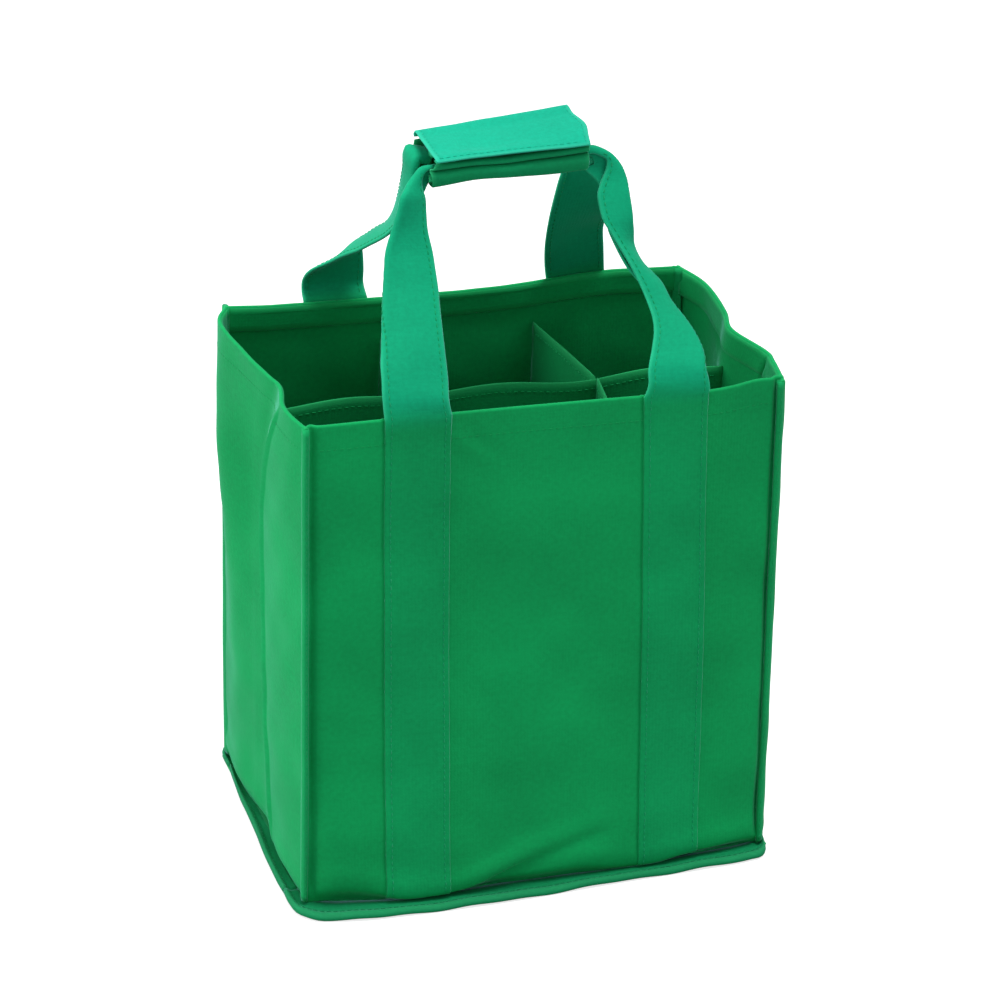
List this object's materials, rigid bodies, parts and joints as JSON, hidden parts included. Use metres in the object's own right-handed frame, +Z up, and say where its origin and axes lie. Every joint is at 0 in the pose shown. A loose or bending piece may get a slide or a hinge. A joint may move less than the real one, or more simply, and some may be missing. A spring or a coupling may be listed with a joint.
{
  "type": "bottle tote bag",
  "caption": "Open sewn carrier bag in green non-woven cloth, with upright bottle cells, strap loops gathered in a wrapped grip and a loose base board.",
  "frame": {"origin": "on the floor, under the middle of the bag", "axes": "+Z up, the front panel faces -Y, +X to the right seen from the front"},
  "size_m": [0.252, 0.192, 0.3587],
  "materials": {
    "panel_cloth": "matt spun-bonded cloth with a fine embossed dot pattern",
    "seam_cloth": "matt bound seam tape",
    "divider_cloth": "matt spun-bonded cloth, in shade",
    "strap_cloth": "matt doubled spun-bonded strap with edge stitching",
    "grip_cloth": "matt spun-bonded cloth with a top stitch",
    "loop_tape": "brushed loop tape",
    "hook_tape": "stiff hook tape",
    "base_board": "cloth-covered board"
  },
  "bodies": {
    "bag": {"front_panel": "panel_cloth", "back_panel": "panel_cloth", "left_gusset": "panel_cloth", "right_gusset": "panel_cloth", "bottom_panel": "panel_cloth", "front_left_corner_seam": "seam_cloth", "front_right_corner_seam": "seam_cloth", "back_left_corner_seam": "seam_cloth", "back_right_corner_seam": "seam_cloth", "front_base_binding": "seam_cloth", "back_base_binding": "seam_cloth", "left_base_binding": "seam_cloth", "right_base_binding": "seam_cloth", "front_rim_hem": "panel_cloth", "back_rim_hem": "panel_cloth", "left_rim_hem": "panel_cloth", "right_rim_hem": "panel_cloth", "long_divider": "divider_cloth", "front_cross_divider_1": "divider_cloth", "front_cross_divider_2": "divider_cloth", "back_cross_divider_1": "divider_cloth", "back_cross_divider_2": "divider_cloth", "front_left_strap_run": "strap_cloth", "front_right_strap_run": "strap_cloth", "back_left_strap_run": "strap_cloth", "back_right_strap_run": "strap_cloth", "front_left_handle_leg": "strap_cloth", "front_right_handle_leg": "strap_cloth", "back_left_handle_leg": "strap_cloth", "back_right_handle_leg": "strap_cloth"},
    "base_board": {"base_board": "base_board"},
    "grip": {"grip_wrap": "grip_cloth", "loop_tape": "loop_tape", "front_handle_span": "strap_cloth", "back_handle_span": "strap_cloth"},
    "flap": {"grip_flap": "grip_cloth", "hook_tape": "hook_tape"}
  },
  "joints": [
    {"name": "grip_drop", "type": "slide", "parent": "bag", "child": "grip", "axis": [0, 0, 1], "range_m": [-0.106, 0], "deforming": ["front_left_handle_leg", "front_right_handle_leg", "back_left_handle_leg", "back_right_handle_leg"]},
    {"name": "flap_open", "type": "hinge", "parent": "grip", "child": "flap", "pos_m": [0, 0.0184, 0.3566], "axis": [-1, 0, 0], "range_deg": [0, 165]},
    {"name": "board_lift", "type": "slide", "parent": "bag", "child": "base_board", "axis": [0, 0, 1], "range_m": [0, 0.0159]}
  ]
}
